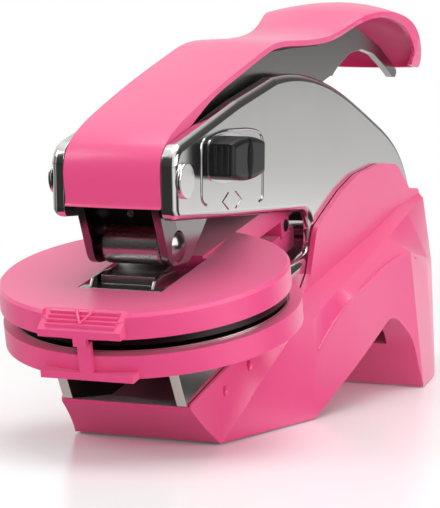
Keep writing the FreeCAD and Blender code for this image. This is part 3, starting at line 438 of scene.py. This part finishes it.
def buildKnobFittings():
    # a thin bright shield between the knob and the plate, ribs on the knob's ends, and a dark lens on its face
    # that is painted shade for the hollow beside its ridge
    y, z = knob["middle"]
    halfLong, halfHigh = knob["half"][0] + knob["shieldRim"], knob["half"][1] + knob["shieldRim"]
    bm = bmesh.new()
    bmesh.ops.create_cube(bm, size=2.0)
    lengthways = [edge for edge in bm.edges if abs((edge.verts[0].co - edge.verts[1].co).y) > 1.0]
    bmesh.ops.subdivide_edges(bm, edges=lengthways, cuts=knob["shieldCuts"], use_grid_fill=True)
    for vert in bm.verts:
        rise = 1.0 - knob["bow"] / halfHigh * vert.co.y ** 2
        x = knob["shieldFrom"] + knob["shieldThick"] * (0.5 + 0.5 * vert.co.x)
        vert.co = place(x, y + halfLong * vert.co.y, z + halfHigh * rise * vert.co.z)
    across = 0.5 * knob["shieldThick"] * millimetre
    corners = [edge for edge in bm.edges if abs((edge.verts[0].co - edge.verts[1].co).x) > across
               and edge.calc_face_angle(0.0) > math.radians(squareDeg)]
    roundEdges(bm, corners, knob["corner"], knob["cornerRings"])
    finishPiece(bm, "lock_shield", "lock", "pinHead")
    reach = knob["half"][1] - knob["bow"] - knob["ribEnd"]
    ends = (y - knob["half"][0], y + knob["half"][0])
    addLines("lock_knob_ribs",
             [[(x, end, z - reach), (x, end, z + reach)] for end in ends for x in knob["ribs"]],
             knob["ribRadius"], "lock", "blackPlastic")
    # the dark lens on the knob's face: painted shade for the hollow beside the ridge
    bm = bmesh.new()
    shape = Matrix.Diagonal((*(Vector(knob["lensHalf"]) * millimetre), 1.0))
    middle = place(knob["from"] + knob["reach"] - knob["lensSink"], y, z)
    around, along = knob["lensSides"]
    bmesh.ops.create_uvsphere(bm, u_segments=around, v_segments=along, radius=1.0,
                              matrix=Matrix.Translation(middle) @ shape)
    finishPiece(bm, "lock_knob_shade_lens", "lock", "paintedShadeBlack")


def addHead(bm, middle, radius, high, axis, sides, breakWidth, rings):
    # a round flat head with its rims broken
    bmesh.ops.create_cone(bm, cap_ends=True, segments=sides, radius1=radius * millimetre,
                          radius2=radius * millimetre, depth=high * millimetre,
                          matrix=Matrix.Translation(middle) @ Matrix.Rotation(math.radians(90), 4, axis))
    rims = [edge for edge in bm.edges if edge.calc_face_angle(0.0) > math.radians(squareDeg)]
    roundEdges(bm, rims, breakWidth, rings)


pivotCap = {"middle": (-13.5, 58.4), "radius": 3.85, "from": 14.8, "high": 0.82, "edge": 0.3, "sides": 64,
            "rings": 4}


def buildPivotCaps():
    # the flat bright heads of the pivot pin, one on each plate
    for side, label in ((1, "right"), (-1, "left")):
        bm = bmesh.new()
        middle = place(side * (pivotCap["from"] + 0.5 * pivotCap["high"]), *pivotCap["middle"])
        addHead(bm, middle, pivotCap["radius"], pivotCap["high"], "Y", pivotCap["sides"], pivotCap["edge"],
                pivotCap["rings"])
        finishPiece(bm, "pivot_cap_" + label, pinBody, "pinHead")


tabMark = {"halfWidth": 1.9, "rear": -31.9, "front": -34.9, "ridge": 0.62, "line": 0.4,
           "slopeFrom": (-30.8, 13.7), "fall": 0.627}


def buildTabMark():
    # the V on the upper tab that shows where to press
    def spot(x, along):
        return onUpperDie(x, along, tabMark["slopeFrom"][1]
                          - (tabMark["slopeFrom"][0] - along) * tabMark["fall"] + tabMark["ridge"])
    rear, front, half = tabMark["rear"], tabMark["front"], tabMark["halfWidth"]
    addLines("upper_tab_mark", [[spot(-half, rear), spot(0.0, front), spot(half, rear)]],
             tabMark["line"], "upper_die", "pinkPlastic")


drops = {"width": 0.8, "sides": (20, 12),
         "places": (((17.4, 16.8, 16.6), (18.0, 15.1, 14.2)), ((16.5, 5.1, 12.3), (16.8, 4.2, 10.0)))}


def buildDrops():
    # two drop-shaped pips on the near flank, and their mirror images
    bm = bmesh.new()
    around, along = drops["sides"]
    for start, end in drops["places"]:
        for side in (1, -1):
            high, low = place(side * start[0], *start[1:]), place(side * end[0], *end[1:])
            turned = (high - low).to_track_quat("Z", "Y").to_matrix().to_4x4()
            width = drops["width"] * millimetre
            shape = Matrix.Diagonal((width, width, (high - low).length * 0.5, 1.0))
            bmesh.ops.create_uvsphere(bm, u_segments=around, v_segments=along, radius=1.0,
                                      matrix=Matrix.Translation((high + low) * 0.5) @ turned @ shape)
    finishPiece(bm, "base_drops", "base", "pinkPlastic")


flankRib = {"line": 0.32,
            "run": ((24.1, 41.6, 16.2), (24.2, 44.3, 18.1), (24.5, 51.5, 22.1), (25.2, 59.7, 26.0),
                    (25.0, 70.3, 29.1), (24.7, 81.7, 31.7), (25.3, 91.9, 33.8), (25.9, 99.6, 34.2),
                    (26.4, 103.8, 32.2))}


def buildFlankRibs():
    # a fine raised line that follows each flank up to the rear corner
    runs = [[(side * x, y, z) for x, y, z in flankRib["run"]] for side in (1, -1)]
    addLines("flank_ribs", runs, flankRib["line"], "base", "pinkPlastic", "NURBS")


bridge = {"halfWidth": 8.0, "from": 1.0, "thick": 0.8, "low": 46.4, "high": 54.2, "edge": 0.2, "rings": 2,
          "screw": (-4.45, 49.7), "screwRadius": 0.9, "screwHigh": 0.5, "screwSides": 28, "screwEdge": 0.15}


def buildLeverBridge():
    # the web that ties the two lever arms behind the roller, with its screw; the web is painted near black as
    # painted shade
    bm = bmesh.new()
    middle = place(0.0, bridge["from"] + 0.5 * bridge["thick"], 0.5 * (bridge["low"] + bridge["high"]))
    size = Vector((2 * bridge["halfWidth"], bridge["thick"], bridge["high"] - bridge["low"])) * millimetre
    bmesh.ops.create_cube(bm, size=1.0, matrix=Matrix.Translation(middle) @ Matrix.Diagonal((*size, 1.0)))
    roundEdges(bm, bm.edges[:], bridge["edge"], bridge["rings"])
    finishPiece(bm, "lever_bridge", "handle", "paintedShadeDie")
    bm = bmesh.new()
    head = place(bridge["screw"][0], bridge["from"] - 0.5 * bridge["screwHigh"], bridge["screw"][1])
    addHead(bm, head, bridge["screwRadius"], bridge["screwHigh"], "X", bridge["screwSides"],
            bridge["screwEdge"], bridge["rings"])
    finishPiece(bm, "lever_bridge_screw", "handle", "turnedSteel")


bodies = frame["record"]["behaviour"]["bodies"]
pinBody = next(name for name, members in bodies.items() if "pivot_pin" in members)
buildPanel()
buildKnobFittings()
buildPivotCaps()
buildTabMark()
buildDrops()
buildFlankRibs()
buildLeverBridge()
print("small fittings made")


# floor, light and camera

studio = {"floorHalf": 6.0, "floorColour": (0.90, 0.90, 0.90, 1.0), "floorRough": 0.22, "floorLift": 0.05,
          "fadeFrom": 0.13, "fadeTo": 0.42, "worldLight": 0.62, "lampTarget": (0.0, 0.0, 0.05)}
plainWhite = (1.0, 1.0, 1.0, 1.0)
# what the floor sends to metal: metres from the object, grey
floorRings = ((0.0, 0.60), (0.35, 0.92), (0.55, 0.95), (0.80, 0.60), (2.2, 0.55), (6.0, 0.60))
# the cards lie round the object: turn from -X over -Y, +X and +Y back to -X, grey
floorCards = ((0.0, 0.60), (0.09, 0.10), (0.13, 0.45), (0.16, 0.04), (0.33, 0.04), (0.385, 0.95),
              (0.455, 0.95), (0.50, 0.05), (0.60, 0.06), (0.65, 0.95), (0.74, 1.0), (0.85, 0.90),
              (0.95, 0.70))
roomCards = ((0.0, 0.45), (0.07, 0.08), (0.13, 0.50), (0.16, 0.04), (0.25, 0.05), (0.35, 0.05),
             (0.375, 0.85), (0.47, 0.95), (0.52, 0.05), (0.60, 0.04), (0.70, 0.08), (0.78, 0.45),
             (0.88, 1.0), (0.96, 0.75))
# from the horizon to straight up: how far the room turns plain white, and the light that it sheds
roomHeights = ((0.0, 0.0), (0.15, 0.0), (0.62, 0.02), (0.76, 0.60), (0.92, 1.0))
skyHeights = ((0.0, 0.55), (0.6, 1.0))


def greyRamp(tree, factor, stops):
    ramp = addNode(tree, "ShaderNodeValToRGB", {0: factor})
    marks = ramp.color_ramp.elements
    while len(marks) < len(stops):
        marks.new(0.5)
    for mark, (position, grey) in zip(marks, stops):
        mark.position = position
        mark.color = (grey, grey, grey, 1.0)
    return ramp


def turnShare(tree, vector):
    # how far round the object a direction points, from 0 to 1
    split = addNode(tree, "ShaderNodeSeparateXYZ", {0: vector})
    turn = addNode(tree, "ShaderNodeMath", {0: split.outputs["Y"], 1: split.outputs["X"]},
                   operation="ARCTAN2")
    share = addNode(tree, "ShaderNodeMath", {0: turn.outputs[0], 1: 0.5 / math.pi, 2: 0.5},
                    operation="MULTIPLY_ADD")
    return share.outputs[0], split.outputs["Z"]


def buildFloor():
    bm = bmesh.new()
    bmesh.ops.create_grid(bm, x_segments=1, y_segments=1, size=studio["floorHalf"])
    mesh = bpy.data.meshes.new("floor")
    bm.to_mesh(mesh)
    bm.free()
    floor = bpy.data.objects.new("floor", mesh)
    bpy.context.scene.collection.objects.link(floor)
    material = bpy.data.materials.new("floorPaper")
    material.use_nodes = True
    tree = material.node_tree
    shader = tree.nodes["Principled BSDF"]
    shader.inputs["Roughness"].default_value = studio["floorRough"]
    coords = addNode(tree, "ShaderNodeTexCoord")
    away = addNode(tree, "ShaderNodeVectorMath", {0: coords.outputs["Object"]}, operation="LENGTH")
    share = addNode(tree, "ShaderNodeMath", {0: away.outputs["Value"], 1: studio["floorHalf"]},
                    operation="DIVIDE")
    rings = greyRamp(tree, share.outputs[0], [(far / studio["floorHalf"], grey) for far, grey in floorRings])
    path = addNode(tree, "ShaderNodeLightPath")
    turn = turnShare(tree, coords.outputs["Object"])[0]
    cards = greyRamp(tree, turn, floorCards)
    mirrored = addNode(tree, "ShaderNodeMix", {0: 1.0, 6: rings.outputs["Color"], 7: cards.outputs["Color"]},
                       data_type="RGBA", blend_type="MULTIPLY")
    shader.inputs["Base Color"].default_value = studio["floorColour"]
    mirror = addNode(tree, "ShaderNodeEmission", {"Color": mirrored.outputs[2], "Strength": 1.0})
    lifted = addNode(tree, "ShaderNodeEmission", {"Color": plainWhite, "Strength": studio["floorLift"]})
    near = addNode(tree, "ShaderNodeAddShader", {0: shader.outputs[0], 1: lifted.outputs[0]})
    white = addNode(tree, "ShaderNodeEmission", {"Color": plainWhite, "Strength": 1.0})
    fade = addNode(tree, "ShaderNodeMapRange", {"Value": away.outputs["Value"],
                                                "From Min": studio["fadeFrom"],
                                                "From Max": studio["fadeTo"]},
                   interpolation_type="SMOOTHSTEP")
    seen = addNode(tree, "ShaderNodeMixShader", {0: fade.outputs["Result"], 1: near.outputs[0],
                                                 2: white.outputs[0]})
    unseen = addNode(tree, "ShaderNodeMixShader", {0: path.outputs["Is Glossy Ray"], 1: shader.outputs[0],
                                                   2: mirror.outputs[0]})
    chosen = addNode(tree, "ShaderNodeMixShader", {0: path.outputs["Is Camera Ray"], 1: unseen.outputs[0],
                                                   2: seen.outputs[0]})
    tree.links.new(chosen.outputs[0], tree.nodes["Material Output"].inputs["Surface"])
    mesh.materials.append(material)


def buildWorld():
    # bright above and to the right, dark cards in front and beside, as round a small product table
    world = bpy.data.worlds.new("studio")
    bpy.context.scene.world = world
    world.use_nodes = True
    tree = world.node_tree
    tree.nodes.clear()
    path = addNode(tree, "ShaderNodeLightPath")
    coords = addNode(tree, "ShaderNodeTexCoord")
    turn, lift = turnShare(tree, coords.outputs["Generated"])
    cards = greyRamp(tree, turn, roomCards)
    height = greyRamp(tree, lift, roomHeights)
    room = addNode(tree, "ShaderNodeMix", {0: height.outputs["Color"], 6: cards.outputs["Color"],
                                           7: plainWhite}, data_type="RGBA")
    sky = greyRamp(tree, lift, skyHeights)
    mirrored = addNode(tree, "ShaderNodeBackground", {"Color": room.outputs[2], "Strength": 1.0})
    light = addNode(tree, "ShaderNodeBackground", {"Color": sky.outputs["Color"],
                                                   "Strength": studio["worldLight"]})
    seen = addNode(tree, "ShaderNodeBackground", {"Color": plainWhite, "Strength": 1.0})
    first = addNode(tree, "ShaderNodeMixShader", {0: path.outputs["Is Glossy Ray"], 1: light.outputs[0],
                                                  2: mirrored.outputs[0]})
    cameraOrGlass = addNode(tree, "ShaderNodeMath", {0: path.outputs["Is Camera Ray"],
                                                     1: path.outputs["Is Transmission Ray"]},
                            operation="MAXIMUM")
    second = addNode(tree, "ShaderNodeMixShader", {0: cameraOrGlass.outputs[0], 1: first.outputs[0],
                                                   2: seen.outputs[0]})
    output = addNode(tree, "ShaderNodeOutputWorld")
    tree.links.new(second.outputs[0], output.inputs["Surface"])


def addLamp(name, position, target, size, power, mirrored=True):
    lamp = bpy.data.lights.new(name, "AREA")
    lamp.shape = "RECTANGLE"
    lamp.size, lamp.size_y = size
    lamp.energy = power
    holder = bpy.data.objects.new(name, lamp)
    bpy.context.scene.collection.objects.link(holder)
    holder.location = Vector(position)
    holder.rotation_euler = (Vector(target) - Vector(position)).to_track_quat("-Z", "Y").to_euler()
    holder.visible_glossy = mirrored


photoCamera = {"azimuthDeg": 23.52, "elevationDeg": 5.55, "rollDeg": 0.37, "focalPixels": 2408.0,
               "imageHigh": 508, "sensor": 36.0, "place": (224.12, -475.24, 92.22)}


def buildCamera():
    turn = math.radians(photoCamera["azimuthDeg"])
    lift = math.radians(photoCamera["elevationDeg"])
    roll = math.radians(photoCamera["rollDeg"])
    back = Vector((math.sin(turn) * math.cos(lift), -math.cos(turn) * math.cos(lift), math.sin(lift)))
    right = Vector((math.cos(turn), math.sin(turn), 0.0))
    up = back.cross(right)
    rolledRight = right * math.cos(roll) + up * math.sin(roll)
    rolledUp = -right * math.sin(roll) + up * math.cos(roll)
    camera = bpy.data.cameras.new("photoCamera")
    camera.sensor_width = photoCamera["sensor"]
    camera.lens = photoCamera["focalPixels"] / photoCamera["imageHigh"] * photoCamera["sensor"]
    camera.dof.use_dof = False
    holder = bpy.data.objects.new("photoCamera", camera)
    bpy.context.scene.collection.objects.link(holder)
    turned = Matrix((rolledRight, rolledUp, back)).transposed().to_4x4()
    holder.matrix_world = Matrix.Translation(place(*photoCamera["place"])) @ turned
    bpy.context.scene.camera = holder


buildFloor()
buildWorld()
lamps = {
    "topSoftbox": {"position": (0.1, 0.15, 1.1), "size": (0.9, 0.9), "power": 7.4},
    "rightSoftbox": {"position": (1.1, 0.05, 0.35), "size": (0.7, 0.5), "power": 4.6},
    "archFill": {"position": (0.72, -0.95, 0.12), "size": (0.35, 0.25), "power": 2.2, "mirrored": False},
    "leftSoftbox": {"position": (-0.8, -0.6, 0.8), "size": (0.5, 0.5), "power": 2.6},
    "frontFill": {"position": (-0.15, -1.1, 0.22), "size": (1.3, 0.6), "power": 2.0, "mirrored": False}}
for lampName, lamp in lamps.items():
    addLamp(lampName, lamp["position"], studio["lampTarget"], lamp["size"], lamp["power"],
            lamp.get("mirrored", True))
buildCamera()
scene = bpy.context.scene
scene.view_settings.view_transform = "Standard"
print("studio ready")
